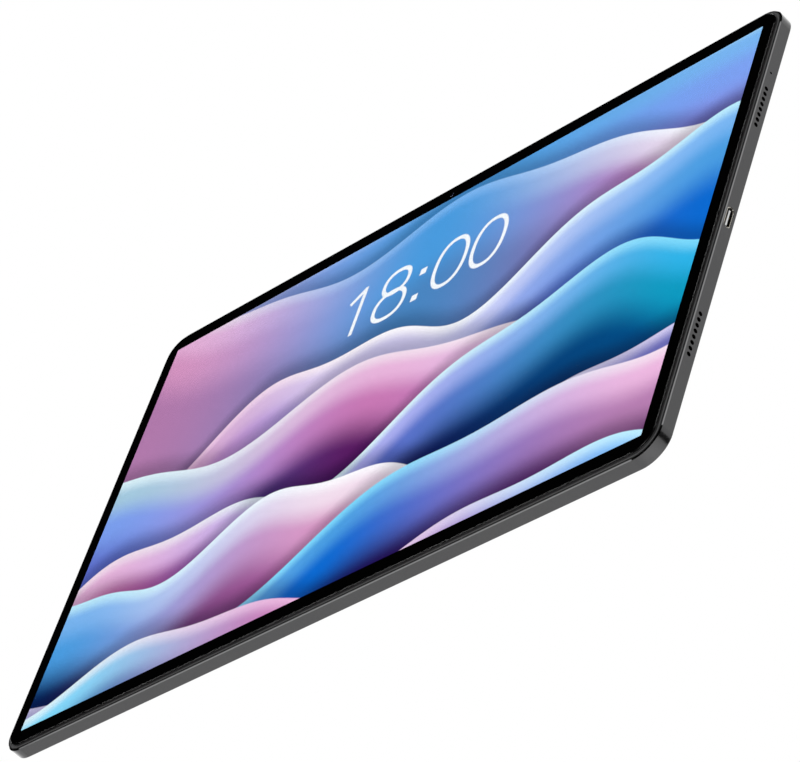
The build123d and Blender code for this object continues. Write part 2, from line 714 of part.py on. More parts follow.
def key_brackets():
    """Folded steel plates that back the switches' flexible circuit."""
    zs = (FLOOR + FLEX + 0.1, PORT_Z + 1.2)
    x = -(POWER_SWITCH_X - SWITCH_THICK) + FLEX
    y = ROCKER_SWITCH_Y - SWITCH_THICK - FLEX
    power = block((x, x + 0.4), (POWER_Y - 8, POWER_Y + 8), zs)
    foot_z = (zs[0], zs[0] + 0.4)
    power += block((x, x + 2.4), (POWER_Y - 8, POWER_Y - 4), foot_z)
    rocker = block((ROCKER_X - 15, ROCKER_X + 15), (y - 0.4, y), zs)
    rocker += block((ROCKER_X - 15, ROCKER_X - 9), (y - 2.4, y), foot_z)
    return group([power, rocker])


# ---- Card tray ----
def card_tray():
    """The pull-out tray: flush face with a pin hole, and a bed with two pockets."""
    face_y = (HALF_Y - TRAY_FACE_THICK, HALF_Y)
    face = along_y(SlotOverall(TRAY_FACE, TRAY_FACE_HEIGHT), TRAY_X, PORT_Z, face_y)
    bed = block(TRAY_BED_X, (TRAY_BED_BACK, face_y[0] + 0.1), TRAY_BED_Z)
    pocket_z = (TRAY_BED_Z[0] + 0.15, BODY_Z)
    left, right = TRAY_BED_X
    bed -= block((left + 0.9, right - 0.9), (TRAY_BED_BACK + 1.2, TRAY_BED_BACK + 12), pocket_z)
    bed -= block((left + 0.9, right - 0.9), (TRAY_BED_BACK + 13, TRAY_BED_BACK + 25), pocket_z)
    return face + bed - along_y(Circle(0.5), ROD_X, PORT_Z, (face_y[0] - 1, HALF_Y + 1))


def card_reader():
    """The steel cage round the tray, with the floor that carries the pivot pin."""
    left, right = TRAY_BED_X[0] - TRAY_GAP, TRAY_BED_X[1] + TRAY_GAP
    zs = (BOARD_TOP, TRAY_BED_Z[1] + TRAY_GAP + READER_SHEET)
    cage = block((left - READER_SHEET, right + READER_SHEET), READER_Y, zs)
    inside_z = (BOARD_TOP + READER_SHEET, TRAY_BED_Z[1] + TRAY_GAP)
    cage -= block((left, right), (READER_Y[0] - 1, READER_Y[1] + 1), inside_z)
    floor_z = (BOARD_TOP, BOARD_TOP + READER_SHEET)
    cage += block((left - READER_SHEET, ROD_X + 1.4), (68.5, READER_Y[1]), floor_z)
    outer_x = (ROD_X + ROD_WIDTH / 2 + TRAY_GAP, ROD_X + 1.4)
    cage += block(outer_x, (READER_Y[0] + 1.5, READER_Y[1]), (BOARD_TOP, LEVER_Z[1]))
    return cage + disc(LEVER_PIVOT, PIVOT_R, (BOARD_TOP, LEVER_Z[1] + 0.2))


def eject_rod():
    """The sliding rod beside the tray, which an eject pin pushes in."""
    half = ROD_WIDTH / 2
    return block((ROD_X - half, ROD_X + half), ROD_Y, LEVER_Z)


def eject_lever():
    """The short lever that turns the rod's push into a push on the tray."""
    lever = block(LEVER_X, LEVER_Y, LEVER_Z) + disc(LEVER_PIVOT, 1.2, LEVER_Z)
    return lever - disc(LEVER_PIVOT, PIVOT_R + PIVOT_GAP, (0, BODY_Z))


# ---- The assembly ----
PARTS = {
    "rear_housing": rear_housing,
    "display_frame": display_frame,
    "cover_glass": cover_glass,
    "bezel_ink": bezel_ink,
    "glass_tape": glass_tape,
    "lcd_panel": lcd_panel,
    "diffuser_films": diffuser_films,
    "light_guide": light_guide,
    "reflector_film": reflector_film,
    "backlight_tray": backlight_tray,
    "backlight_leds": backlight_leds,
    "display_driver_board": display_driver_board,
    "display_flex": display_flex,
    "battery_tapes": battery_tapes,
    "battery_board": battery_board,
    "battery_tabs": battery_tabs,
    "battery_lead": battery_lead,
    "mainboard": mainboard,
    "processor": processor,
    "memory_chips": memory_chips,
    "thermal_pad": thermal_pad,
    "processor_shield": processor_shield,
    "radio_chips": radio_chips,
    "radio_shield": radio_shield,
    "power_chips": power_chips,
    "graphite_sheet": graphite_sheet,
    "board_connectors": board_connectors,
    "board_screws": board_screws,
    "usb_board": usb_board,
    "usb_shell": usb_shell,
    "usb_tongue": usb_tongue,
    "usb_contacts": usb_contacts,
    "usb_flex": usb_flex,
    "speaker_boxes": speaker_boxes,
    "speaker_diaphragms": speaker_diaphragms,
    "speaker_gaskets": speaker_gaskets,
    "speaker_meshes": speaker_meshes,
    "microphones": microphones,
    "antennas": antennas,
    "front_camera": front_camera,
    "front_camera_lens": front_camera_lens,
    "rear_camera": rear_camera,
    "rear_camera_lens": rear_camera_lens,
    "rear_camera_ring": rear_camera_ring,
    "rear_camera_window": rear_camera_window,
    "flash_lens": flash_lens,
    "flash_lamp": flash_lamp,
    "camera_cables": camera_cables,
    "power_button": power_button,
    "volume_rocker": volume_rocker,
    "key_switches": key_switches,
    "key_flex": key_flex,
    "key_brackets": key_brackets,
    "card_tray": card_tray,
    "card_reader": card_reader,
    "eject_rod": eject_rod,
    "eject_lever": eject_lever,
}

os.makedirs("parts", exist_ok=True)
for name, make in PARTS.items():
    export_step(make(), f"parts/{name}.step")
for side, label in ((-1, "left"), (1, "right")):
    export_step(battery_cell(side), f"parts/battery_cell_{label}.step")
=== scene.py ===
import json
import math

import bmesh
import bpy
from mathutils import Matrix, Vector

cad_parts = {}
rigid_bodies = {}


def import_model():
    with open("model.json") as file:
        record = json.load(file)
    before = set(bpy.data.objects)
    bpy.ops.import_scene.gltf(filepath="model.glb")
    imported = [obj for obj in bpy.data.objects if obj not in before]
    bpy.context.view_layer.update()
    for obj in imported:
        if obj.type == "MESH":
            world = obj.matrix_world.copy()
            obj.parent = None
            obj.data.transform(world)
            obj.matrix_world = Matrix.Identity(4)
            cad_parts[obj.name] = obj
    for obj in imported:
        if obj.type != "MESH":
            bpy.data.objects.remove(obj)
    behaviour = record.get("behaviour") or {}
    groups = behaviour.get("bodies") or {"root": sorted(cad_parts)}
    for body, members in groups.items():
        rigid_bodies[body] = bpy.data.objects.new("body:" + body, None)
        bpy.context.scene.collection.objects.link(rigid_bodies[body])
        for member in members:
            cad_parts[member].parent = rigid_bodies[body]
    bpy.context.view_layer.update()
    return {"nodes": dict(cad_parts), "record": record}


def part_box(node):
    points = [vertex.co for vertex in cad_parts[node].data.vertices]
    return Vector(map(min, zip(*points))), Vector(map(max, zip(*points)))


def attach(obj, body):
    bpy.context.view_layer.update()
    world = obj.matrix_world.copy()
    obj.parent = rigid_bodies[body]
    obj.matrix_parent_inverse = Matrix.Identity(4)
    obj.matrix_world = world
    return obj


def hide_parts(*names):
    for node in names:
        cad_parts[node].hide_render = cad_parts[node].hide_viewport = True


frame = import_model()

bl_info = {
    "name": "Tablet Computer Finishes",
    "version": (1, 0, 0),
    "blender": (4, 5, 0),
    "location": "3D View > Sidebar > Tablet",
    "description": "Finishes, fine pieces and a studio stage for a slim metal tablet computer",
    "category": "Object",
}

MM = 0.001
NODES = frame["nodes"]
SLOT_OF = {part["node"]: part["material_slot"] for part in frame["record"]["subparts"]}


# ---- Colours and node nets ----


def tone(code):
    """The linear colour of a six-digit display colour."""
    parts = [int(code[i:i + 2], 16) / 255 for i in (0, 2, 4)]
    return (*[c / 12.92 if c <= 0.04045 else ((c + 0.055) / 1.055) ** 2.4 for c in parts], 1.0)


def grey(value, blue=0.0):
    """A neutral linear colour, a little bluer where asked."""
    return (value, value, value * (1 + blue), 1.0)


class Net:
    """Adds nodes to one shader tree and joins them."""

    def __init__(self, tree):
        self.tree = tree

    def put(self, socket, value):
        """Joins an output to a socket, or sets the socket's own value."""
        if isinstance(value, bpy.types.NodeSocket):
            self.tree.links.new(value, socket)
        else:
            socket.default_value = value

    def add(self, kind, feeds=(), **settings):
        """A node with its settings made and its inputs fed."""
        node = self.tree.nodes.new(kind)
        for name, value in settings.items():
            setattr(node, name, value)
        for key, value in dict(feeds).items():
            self.put(node.inputs[key], value)
        return node

    def math(self, operation, *values, clamp=False):
        return self.add("ShaderNodeMath", enumerate(values), operation=operation, use_clamp=clamp).outputs[0]

    def ease(self, value, low, high, start=0.0, end=1.0, kind="SMOOTHSTEP"):
        """Goes from start to end while value goes from low to high."""
        return self.add("ShaderNodeMapRange", ((0, value), (1, low), (2, high), (3, start), (4, end)),
                        interpolation_type=kind, clamp=True).outputs[0]

    def mix(self, share, first, second):
        node = self.add("ShaderNodeMix", data_type="RGBA")
        for index, value in ((0, share), (6, first), (7, second)):
            self.put(node.inputs[index], value)
        return node.outputs[2]

    def ramp(self, value, stops, kind="EASE"):
        """A colour ramp from (position, colour) stops in rising order."""
        node = self.add("ShaderNodeValToRGB", ((0, value),))
        band = node.color_ramp
        band.interpolation = kind
        while len(band.elements) < len(stops):
            band.elements.new(0.5)
        while len(band.elements) > len(stops):
            band.elements.remove(band.elements[-1])
        for element, (position, colour) in zip(band.elements, stops):
            element.position, element.color = position, colour
        return node.outputs[0]

    def object_place(self):
        return self.add("ShaderNodeTexCoord").outputs["Object"]

    def split(self, vector):
        return self.add("ShaderNodeSeparateXYZ", ((0, vector),)).outputs

    def noise(self, vector, scale, detail=2.0, rough=0.5):
        return self.add("ShaderNodeTexNoise", (("Vector", vector), ("Scale", scale), ("Detail", detail),
                                               ("Roughness", rough))).outputs[0]

    def bump(self, height, strength, distance):
        return self.add("ShaderNodeBump", (("Strength", strength), ("Distance", distance),
                                           ("Height", height))).outputs[0]

    def group(self, name, **feeds):
        """A placed copy of one of the shared shader groups."""
        node = self.add("ShaderNodeGroup", node_tree=bpy.data.node_groups[name])
        for key, value in feeds.items():
            self.put(node.inputs[key.replace("_", " ").capitalize()], value)
        return node.outputs


# ---- The screen picture: plain waves of silk, drawn in millimetres from the screen's middle ----

SILK = {
    "pearl": "FDFAFF", "blush": "F3DDED", "petal": "E9B4DC", "rose": "D796C3", "mauve": "B47CAE",
    "orchid": "C878B4", "plum": "A55A98", "fuchsia": "C35C9E", "garnet": "96285F", "grape": "581A60",
    "aubergine": "420650", "dusk": "2A1258", "navy": "0E0652", "lilac": "D8D2F8", "lavender": "ABACEE",
    "periwinkle": "8485DA", "iris": "6C5CB8", "violet": "5C6CC8", "cornflower": "7CA0F0", "sky": "78B4F0",
    "azure": "4A9CE0", "cobalt": "0A68CE", "steel": "4A86C2", "ice": "BCEBFD", "frost": "DDF4FC",
    "cyan": "7CD8FA", "lagoon": "2CB0E4", "teal": "0C98BE", "sea": "0A7CB4", "deep": "004C84",
    "abyss": "002A62", "haze": "A6CCE2", "ink": "08002C",
}
# Wave: height at the middle, rise to the right per millimetre, half height and length of its swell, start in
# degrees, then its shades at the left, the middle and the right, each from the lit edge down.
WAVES = (
    (100, 0.0, 2, 240, 0, ("lilac", "lavender", "periwinkle", "iris"), ("sky", "azure", "azure", "cobalt"),
     ("ice", "sky", "cornflower", "periwinkle")),
    (84, -0.12, 9, 210, 30, ("blush", "petal", "rose", "mauve"), ("sky", "azure", "azure", "steel"),
     ("pearl", "blush", "orchid", "plum")),
    (30, 0.1, 13, 180, 200, ("petal", "rose", "orchid", "plum"), ("pearl", "lilac", "lavender", "iris"),
     ("ice", "sky", "azure", "cobalt")),
    (6, -0.16, 12, 240, 80, ("frost", "haze", "cornflower", "violet"), ("blush", "petal", "orchid", "grape"),
     ("pearl", "lilac", "periwinkle", "iris")),
    (-18, 0.14, 14, 200, 300, ("blush", "petal", "fuchsia", "garnet"), ("frost", "lavender", "violet", "navy"),
     ("cyan", "lagoon", "teal", "deep")),
    (-44, -0.08, 11, 170, 150, ("ice", "sky", "azure", "abyss"), ("pearl", "blush", "rose", "plum"),
     ("lilac", "periwinkle", "iris", "dusk")),
    (-66, 0.16, 10, 220, 20, ("lilac", "lavender", "iris", "dusk"), ("cyan", "azure", "cobalt", "navy"),
     ("blush", "petal", "mauve", "grape")),
    (-88, -0.05, 8, 190, 240, ("frost", "cyan", "sea", "abyss"), ("petal", "orchid", "plum", "aubergine"),
     ("ice", "sky", "azure", "deep")),
)
RIPPLE_RATE, RIPPLE_SHARE = 2.3, 0.35
WAVE_DEPTH, SHADE_STOPS = 46.0, (0.0, 0.18, 0.5, 1.0)
EDGE_SOFT, SHADOW_REACH, SHADOW = 0.6, 12.0, 0.4
SIDE_REACH = 150.0


def picture_layer(name):
    """A shader group for one layer of the picture: its net, the place on the screen and the picture so far."""
    tree = bpy.data.node_groups.new(name, "ShaderNodeTree")
    for label, kind in (("X", "NodeSocketFloat"), ("Y", "NodeSocketFloat"), ("Under", "NodeSocketColor")):
        tree.interface.new_socket(label, in_out="INPUT", socket_type=kind)
    tree.interface.new_socket("Picture", in_out="OUTPUT", socket_type="NodeSocketColor")
    net = Net(tree)
    return net, *net.add("NodeGroupInput").outputs[:3]


def wave_group(wave):
    """A layer that lays one wave of silk, with its soft shadow, over the picture so far."""
    middle, rise, swell, length, start, *shades = wave
    net, x, y, under = picture_layer("silk wave")
    turned = net.math("MULTIPLY_ADD", x, math.tau / length, math.radians(start))
    ripple = net.math("SINE", net.math("MULTIPLY", turned, RIPPLE_RATE))
    swelling = net.math("MULTIPLY_ADD", ripple, RIPPLE_SHARE, net.math("SINE", turned))
    edge = net.math("MULTIPLY_ADD", swelling, swell, net.math("MULTIPLY_ADD", x, rise, middle))
    depth = net.math("SUBTRACT", edge, y)
    measure = net.math("DIVIDE", depth, WAVE_DEPTH)
    left, centre, right = (net.ramp(measure, [(stop, tone(SILK[name])) for stop, name in zip(SHADE_STOPS, names)])
                           for names in shades)
    colour = net.mix(net.ease(x, 0.0, SIDE_REACH), net.mix(net.ease(x, -SIDE_REACH, 0.0), left, centre), right)
    shaded = net.mix(net.ease(depth, -SHADOW_REACH, 0.0, 0.0, SHADOW), under, tone(SILK["ink"]))
    net.add("NodeGroupOutput", ((0, net.mix(net.ease(depth, 0.0, EDGE_SOFT), shaded, colour)),))
    return net.tree


def silk_picture(net):
    """The whole picture's colour: wave over wave, then the clock numerals."""
    x, y = (net.math("DIVIDE", value, MM) for value in net.split(net.object_place())[:2])
    colour = tone(SILK["navy"])
    for tree in (*[wave_group(wave) for wave in WAVES], numerals_group()):
        node = net.add("ShaderNodeGroup", enumerate((x, y, colour)), node_tree=tree)
        colour = node.outputs[0]
    return colour


# ---- Shared surface effects ----


def effect_group(name, inputs, outputs):
    """An empty shader group with its sockets, and a net to fill it with."""
    tree = bpy.data.node_groups.new(name, "ShaderNodeTree")
    for label, default in inputs:
        tree.interface.new_socket(label, in_out="INPUT", socket_type="NodeSocketFloat").default_value = default
    for label, kind in outputs:
        tree.interface.new_socket(label, in_out="OUTPUT", socket_type=kind)
    net = Net(tree)
    return net, net.add("NodeGroupInput").outputs


SURFACE_INPUTS = (("Scale", 5000.0), ("Relief", 0.000002), ("Roughness", 0.4), ("Spread", 0.1))
SURFACE_OUTPUTS = (("Roughness", "NodeSocketFloat"), ("Normal", "NodeSocketVector"), ("Mask", "NodeSocketFloat"))
BROAD = 0.012


def surface_group(name, height_of):
    """A group that turns one height pattern into roughness, a normal and a colour mask."""
    net, given = effect_group(name, SURFACE_INPUTS, SURFACE_OUTPUTS)
    place = net.object_place()
    height = height_of(net, place, given["Scale"])
    broad = net.noise(place, net.math("MULTIPLY", given["Scale"], BROAD), 3.0, 0.6)
    uneven = net.math("SUBTRACT", net.math("ADD", height, broad), 1.0)
    rough = net.math("MULTIPLY_ADD", uneven, given["Spread"], given["Roughness"], clamp=True)
    bump = net.bump(height, 1.0, given["Relief"])
    mask = net.math("MULTIPLY", net.math("ADD", height, broad), 0.5, clamp=True)
    net.add("NodeGroupOutput", ((0, rough), (1, bump), (2, mask)))


def stretched(net, place, factors):
    """The place, squeezed differently along each axis."""
    return net.add("ShaderNodeVectorMath", ((0, place), (1, factors)), operation="MULTIPLY").outputs[0]


def grain_height(net, place, scale):
    return net.noise(place, scale, 3.0, 0.65)


def brushed_height(net, place, scale):
    return net.noise(stretched(net, place, (0.04, 1.0, 1.0)), scale, 4.0, 0.6)


def crumpled_height(net, place, scale):
    """Soft creases, as in a laminated foil pouch."""
    warped = net.add("ShaderNodeTexVoronoi", (("Vector", place), ("Scale", scale)), feature="DISTANCE_TO_EDGE")
    return net.math("ADD", net.math("MULTIPLY", net.noise(place, scale, 5.0, 0.6), 0.7),
                    net.ease(warped.outputs["Distance"], 0.0, 0.35, 0.0, 0.3))


def cell_height(net, place, scale):
    """Tiny closed cells, as in foam or a soft pad."""
    cells = net.add("ShaderNodeTexVoronoi", (("Vector", place), ("Scale", scale)))
    return net.ease(cells.outputs["Distance"], 0.0, 0.7)


def woven_height(net, place, scale):
    """Threads crossing over and under."""
    parts = net.split(place)
    waves = [net.math("SINE", net.math("MULTIPLY", parts[axis], scale)) for axis in (0, 1)]
    return net.math("MULTIPLY_ADD", net.math("MULTIPLY", *waves), 0.5, 0.5)


def trace_height(net, place, scale):
    """Copper tracks and plated holes under a lacquer."""
    tracks = net.add("ShaderNodeTexBrick", (("Vector", place), ("Scale", scale), ("Mortar Size", 0.06),
                                            ("Mortar Smooth", 0.3), ("Color1", grey(0.0)), ("Color2", grey(0.25)),
                                            ("Mortar", grey(1.0))))
    holes = net.add("ShaderNodeTexVoronoi", (("Vector", place), ("Scale", net.math("MULTIPLY", scale, 0.7))))
    ring = net.ease(holes.outputs["Distance"], 0.1, 0.16, 1.0, 0.0)
    return net.math("MAXIMUM", tracks.outputs["Fac"], ring)


def printed_dot_height(net, place, scale):
    """Rows of printed dots, as on a light guide."""
    dots = net.add("ShaderNodeTexVoronoi", (("Vector", place), ("Scale", scale), ("Randomness", 0.15)))
    return net.ease(dots.outputs["Distance"], 0.2, 0.32, 1.0, 0.0)


EFFECTS = {"fine grain": grain_height, "brushed": brushed_height, "crumpled": crumpled_height,
           "cells": cell_height, "woven": woven_height, "tracks": trace_height, "dots": printed_dot_height}


# ---- Finishes ----


def new_finish(name, metallic=0.0, **constants):
    """A material with its one Principled shader, and a net on its tree."""
    material = bpy.data.materials.new(name)
    material.use_nodes = True
    shader = material.node_tree.nodes["Principled BSDF"]
    shader.inputs["Metallic"].default_value = metallic
    for label, value in constants.items():
        shader.inputs[label.replace("_", " ").replace("Ior", "IOR")].default_value = value
    return material, Net(material.node_tree), shader


def coat(net, shader, effect, colour, second, scale, relief, roughness, spread):
    """Feeds a shader from one shared effect: two tones by its mask, its roughness and its normal."""
    out = net.group(effect, Scale=scale, Relief=relief, Roughness=roughness, Spread=spread)
    shade = net.mix(out["Mask"], colour, second)
    net.put(shader.inputs["Base Color"], shade)
    net.put(shader.inputs["Roughness"], out["Roughness"])
    net.put(shader.inputs["Normal"], out["Normal"])
    return shade, out


# Slot: effect, low tone, high tone, metallic, scale per metre, relief in metres, roughness, spread.
PLAIN_FINISHES = {
    "black_tape": ("woven", grey(0.006), grey(0.016), 0, 9000, 6e-6, 0.75, 0.1),
    "black_foam": ("cells", grey(0.008), grey(0.022), 0, 6000, 4e-5, 0.9, 0.1),
    "white_film": ("fine grain", grey(0.78, 0.02), grey(0.88, 0.02), 0, 2500, 1e-6, 0.34, 0.08),
    "clear_acrylic": ("dots", grey(0.7, 0.03), grey(0.92), 0, 1100, 4e-6, 0.1, 0.2),
    "white_tape": ("woven", grey(0.66), grey(0.84), 0, 7000, 8e-6, 0.8, 0.1),
    "steel": ("brushed", grey(0.46, 0.01), grey(0.62, 0.01), 1, 5200, 1.5e-6, 0.34, 0.16),
    "nickel": ("brushed", (0.55, 0.52, 0.46, 1), (0.72, 0.69, 0.62, 1), 1, 4200, 8e-7, 0.24, 0.12),
    "port_tongue": ("brushed", grey(0.42), grey(0.56), 1, 4200, 8e-7, 0.3, 0.1),
    "screw_steel": ("fine grain", grey(0.13), grey(0.24), 1, 9000, 1e-6, 0.3, 0.12),
    "mesh_steel": ("fine grain", grey(0.035), grey(0.075), 1, 20000, 1e-6, 0.42, 0.1),
    "gold": ("fine grain", (0.74, 0.5, 0.16, 1), (0.92, 0.7, 0.3, 1), 1, 15000, 4e-7, 0.2, 0.1),
    "circuit_board": ("tracks", (0.006, 0.032, 0.02, 1), (0.03, 0.13, 0.075, 1), 0, 420, 3e-5, 0.32, 0.12),
    "flex_film": ("tracks", (0.24, 0.1, 0.022, 1), (0.5, 0.27, 0.08, 1), 0, 700, 1e-5, 0.3, 0.1),
    "chip_plastic": ("fine grain", grey(0.014), grey(0.028, 0.05), 0, 16000, 5e-6, 0.48, 0.14),
    "connector_plastic": ("fine grain", grey(0.014), grey(0.026), 0, 11000, 3e-6, 0.42, 0.1),
    "speaker_plastic": ("fine grain", grey(0.018), grey(0.034, 0.04), 0, 7000, 8e-6, 0.46, 0.14),
    "speaker_cone": ("cells", grey(0.035), grey(0.07, 0.05), 0, 3500, 6e-6, 0.6, 0.1),
    "pouch_foil": ("crumpled", grey(0.045, 0.05), grey(0.085, 0.06), 1, 130, 1.2e-4, 0.44, 0.16),
    "graphite": ("fine grain", grey(0.035), grey(0.075), 1, 6000, 2e-6, 0.5, 0.16),
    "thermal_rubber": ("cells", (0.28, 0.36, 0.42, 1), (0.38, 0.48, 0.55, 1), 0, 5000, 1e-5, 0.85, 0.08),
    "lamp_plastic": ("fine grain", (0.78, 0.56, 0.1, 1), (0.95, 0.78, 0.28, 1), 0, 15000, 2e-6, 0.35, 0.08),
    "frame_plastic": ("fine grain", grey(0.026), grey(0.046, 0.03), 0, 9000, 4e-6, 0.4, 0.1),
}


def plain_finish(slot):
    effect, low, high, metallic, *numbers = PLAIN_FINISHES[slot]
    material, net, shader = new_finish(slot, float(metallic))
    coat(net, shader, effect, low, high, *numbers)
    return material


RIM_LOW = 4.72 * MM


def anodised_finish(name, colour, roughness, polished, rim=True):
    """Bead-blasted anodising, with the cut chamfer round the rim polished bright."""
    material, net, shader = new_finish(name, 1.0)
    low, high = (tuple(c * factor for c in colour[:3]) + (1.0,) for factor in (0.88, 1.12))
    shade, out = coat(net, shader, "fine grain", low, high, 8000, 6e-7, roughness, 0.09)
    if rim:
        geometry = net.add("ShaderNodeNewGeometry")
        slope = net.split(geometry.outputs["Normal"])[2]
        height = net.split(net.object_place())[2]
        slanted = net.math("MULTIPLY", net.ease(slope, 0.3, 0.5), net.ease(slope, 0.85, 0.95, 1.0, 0.0))
        cut = net.math("MULTIPLY", slanted, net.math("GREATER_THAN", height, RIM_LOW))
        bright = tuple(c * polished for c in colour[:3]) + (1.0,)
        net.put(shader.inputs["Base Color"], net.mix(cut, shade, bright))
        net.put(shader.inputs["Roughness"], net.math("MULTIPLY_ADD", cut, -0.7 * roughness, out["Roughness"]))
    return material


def cover_glass_finish(tint):
    """Clear hard glass with faint smudges and a finely ground edge."""
    material, net, shader = new_finish("cover_glass", Transmission_Weight=1.0, Ior=1.5)
    slope = net.split(net.add("ShaderNodeNewGeometry").outputs["Normal"])[2]
    ground = net.math("MULTIPLY", net.ease(slope, 0.2, 0.5), net.ease(slope, 0.9, 0.99, 1.0, 0.0))
    smudge = net.ease(net.noise(net.object_place(), 35.0, 4.0, 0.6), 0.4, 0.75, 0.0, 1.0)
    net.put(shader.inputs["Base Color"], net.mix(smudge, tint, [channel * 0.985 for channel in tint]))
    net.put(shader.inputs["Roughness"], net.math("MULTIPLY_ADD", smudge, 0.02, net.math("MULTIPLY", ground, 0.2)))
    return material


def ink_finish():
    """Printed black border: almost no light comes back from under the glass."""
    material, net, shader = new_finish("black_ink", Specular_IOR_Level=0.0)
    coat(net, shader, "fine grain", grey(0.0004), grey(0.0012), 3000, 5e-7, 0.5, 0.1)
    return material


def panel_finish():
    """Dark panel glass with its fine grid of cells."""
    material, net, shader = new_finish("lcd_glass", Coat_Weight=0.5)
    coat(net, shader, "woven", grey(0.008), grey(0.03, 0.3), 30000, 2e-7, 0.12, 0.04)
    return material


def lens_finish(name, node):
    """A coated lens: dark pupil, violet and blue bands painted in as reflections from its coated elements, and a pale
    rim.
    """
    low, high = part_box(node)
    middle, radius = (low + high) / 2, (high.x - low.x) / 2
    material, net, shader = new_finish(name, Coat_Weight=1.0, Coat_Roughness=0.02, Ior=1.6)
    centred = net.add("ShaderNodeMapping", ((0, net.object_place()), (1, (-middle.x, -middle.y, 0))))
    parts = net.split(centred.outputs[0])
    out = net.math("SQRT", net.math("ADD", net.math("MULTIPLY", parts[0], parts[0]),
                                    net.math("MULTIPLY", parts[1], parts[1])))
    # The violet and blue stops are painted reflections of the lens coating, fixed in the base colour.
    bands = net.ramp(net.math("DIVIDE", out, radius),
                     [(0.0, grey(0.002)), (0.26, grey(0.004, 1.0)), (0.4, (0.03, 0.012, 0.09, 1)),
                      (0.6, (0.012, 0.03, 0.1, 1)), (0.74, (0.004, 0.006, 0.012, 1)), (0.86, grey(0.5, 0.2)),
                      (1.0, grey(0.04))])
    net.put(shader.inputs["Base Color"], bands)
    net.put(shader.inputs["Roughness"], net.ease(net.noise(net.object_place(), 2500.0), 0.3, 0.8, 0.03, 0.07))
    return material


def window_finish():
    """Dark tinted glass over the rear lens."""
    material, net, shader = new_finish("window_glass", Alpha=0.72, Ior=1.45)
    shader.inputs["Base Color"].default_value = grey(0.002)
    net.put(shader.inputs["Roughness"], net.ease(net.noise(net.object_place(), 400.0), 0.4, 0.8, 0.02, 0.06))
    return material


def flash_finish():
    """Milky clear plastic, yellow where the lamp sits behind it."""
    low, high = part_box("flash_lens")
    middle = (low + high) / 2
    material, net, shader = new_finish("flash_plastic", Coat_Weight=0.6, Coat_Roughness=0.05)
    centred = net.add("ShaderNodeMapping", ((0, net.object_place()), (1, (-middle.x, -middle.y, 0))))
    out = net.add("ShaderNodeVectorMath", ((0, stretched(net, centred.outputs[0], (1, 1, 0))),),
                  operation="LENGTH").outputs["Value"]
    lamp = net.ease(out, 0.5 * MM, 1.3 * MM, 1.0, 0.0)
    net.put(shader.inputs["Base Color"], net.mix(lamp, grey(0.8, 0.02), (0.86, 0.66, 0.22, 1)))
    grain = net.group("fine grain", Scale=9000.0, Relief=1e-6, Roughness=0.16, Spread=0.08)
    net.put(shader.inputs["Roughness"], grain["Roughness"])
    net.put(shader.inputs["Normal"], grain["Normal"])
    return material


# ---- Clock numerals, drawn as thin strokes ----

STROKE = 1.9
RINGS = ((-15.2, 60.4, 6.4, 5.9), (-15.2, 48.5, 7.7, 6.9), (14.2, 54.7, 7.6, 11.7), (33.4, 54.7, 7.6, 11.7))
BARS = ((-33.2, 54.5, 0.95, 12.4, 0), (-36.4, 63.5, 1.05, 4.4, -52), (-0.6, 57.8, 1.6, 1.6, 0),
        (-0.6, 44.4, 1.6, 1.6, 0))
STROKE_EDGE = 0.22
RING_POWER = 2.3


def ring_cover(net, x, y, ring):
    """A thin upright ring, as in a zero."""
    middle_x, middle_y, half_x, half_y = ring
    dx, dy = net.math("SUBTRACT", x, middle_x), net.math("SUBTRACT", y, middle_y)
    covers = []
    for grow in (STROKE / 2, -STROKE / 2):
        sides = [net.math("POWER", net.math("ABSOLUTE", net.math("DIVIDE", d, half + grow)), RING_POWER)
                 for d, half in ((dx, half_x), (dy, half_y))]
        out = net.math("POWER", net.math("ADD", *sides), 1 / RING_POWER)
        edge = STROKE_EDGE / (half_x + grow)
        covers.append(net.ease(out, 1 - edge, 1 + edge, 1.0, 0.0))
    return net.math("SUBTRACT", *covers)


def bar_cover(net, x, y, bar):
    """A straight stroke or a square dot, turned where it slants."""
    middle_x, middle_y, half_x, half_y, degrees = bar
    turn = math.radians(degrees)
    dx, dy = net.math("SUBTRACT", x, middle_x), net.math("SUBTRACT", y, middle_y)
    across = net.math("ADD", net.math("MULTIPLY", dx, math.cos(turn)), net.math("MULTIPLY", dy, math.sin(turn)))
    along = net.math("SUBTRACT", net.math("MULTIPLY", dy, math.cos(turn)), net.math("MULTIPLY", dx, math.sin(turn)))
    sides = [net.ease(net.math("ABSOLUTE", d), half - STROKE_EDGE, half + STROKE_EDGE, 1.0, 0.0)
             for d, half in ((across, half_x), (along, half_y))]
    return net.math("MULTIPLY", *sides)


def numerals_group():
    """A layer that lays the clock numerals over the picture so far."""
    net, x, y, under = picture_layer("clock numerals")
    cover = 0.0
    for draw, strokes in ((ring_cover, RINGS), (bar_cover, BARS)):
        for stroke in strokes:
            cover = net.math("MAXIMUM", cover, draw(net, x, y, stroke))
    net.add("NodeGroupOutput", ((0, net.mix(cover, under, tone("F6FAFF"))),))
    return net.tree


def picture_finish(brightness):
    """The lit picture, which only gives light."""
    material, net, shader = new_finish("lit_picture", Specular_IOR_Level=0.0, Emission_Strength=brightness,
                                       Base_Color=(0, 0, 0, 1), Roughness=1.0)
    net.put(shader.inputs["Emission Color"], silk_picture(net))
    return material


# ---- Pieces ----


def new_piece(name, mesh, material, body, slot, *stands_for):
    """Links a finished mesh as a piece that rides on a body."""
    mesh.materials.clear()
    mesh.materials.append(material)
    piece = bpy.data.objects.new(name, mesh)
    bpy.context.scene.collection.objects.link(piece)
    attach(piece, body)
    if stands_for:
        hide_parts(*stands_for)
    return piece


